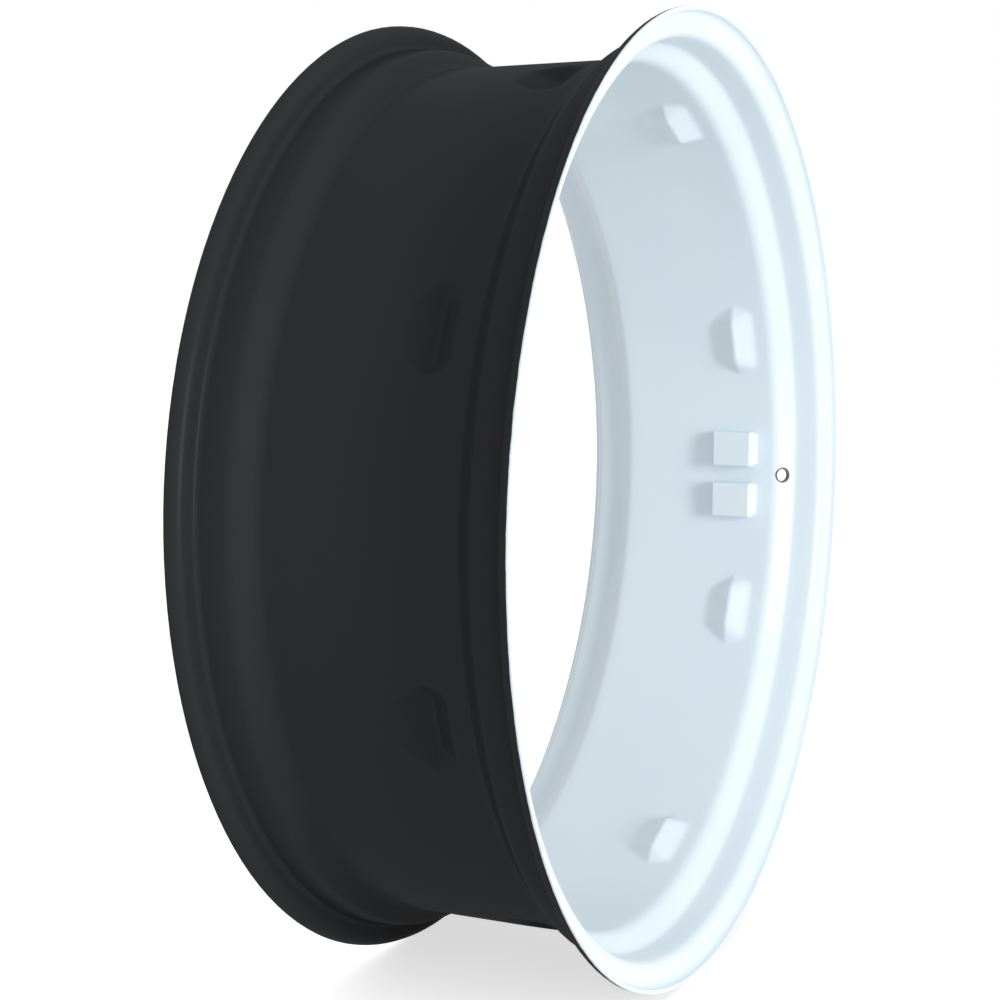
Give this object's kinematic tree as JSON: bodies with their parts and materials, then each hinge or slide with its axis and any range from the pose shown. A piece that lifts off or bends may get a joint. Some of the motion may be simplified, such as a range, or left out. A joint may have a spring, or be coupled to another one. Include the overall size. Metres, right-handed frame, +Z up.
{
  "type": "tractor wheel rim",
  "caption": "Steel drop-centre rim for a rear tractor wheel, with curled flanges for the tyre, pressed seats inside for clamping wedges, a valve hole and welded drive lugs.",
  "frame": {"origin": "centre of the rim, where the axle line crosses the mid-plane between the two flanges", "axes": "+Y along the axle line towards the rear flange, so the front face with the drive lugs looks along -Y; +X through the valve hole; +Z up"},
  "size_m": [1.0159, 0.3364, 1.016],
  "materials": {
    "white_gloss_paint": "gloss"
  },
  "bodies": {
    "root": {"rim": "white_gloss_paint", "upper_drive_lug": "white_gloss_paint", "upper_front_weld": "white_gloss_paint", "upper_rear_weld": "white_gloss_paint", "lower_drive_lug": "white_gloss_paint", "lower_front_weld": "white_gloss_paint", "lower_rear_weld": "white_gloss_paint"}
  },
  "joints": []
}
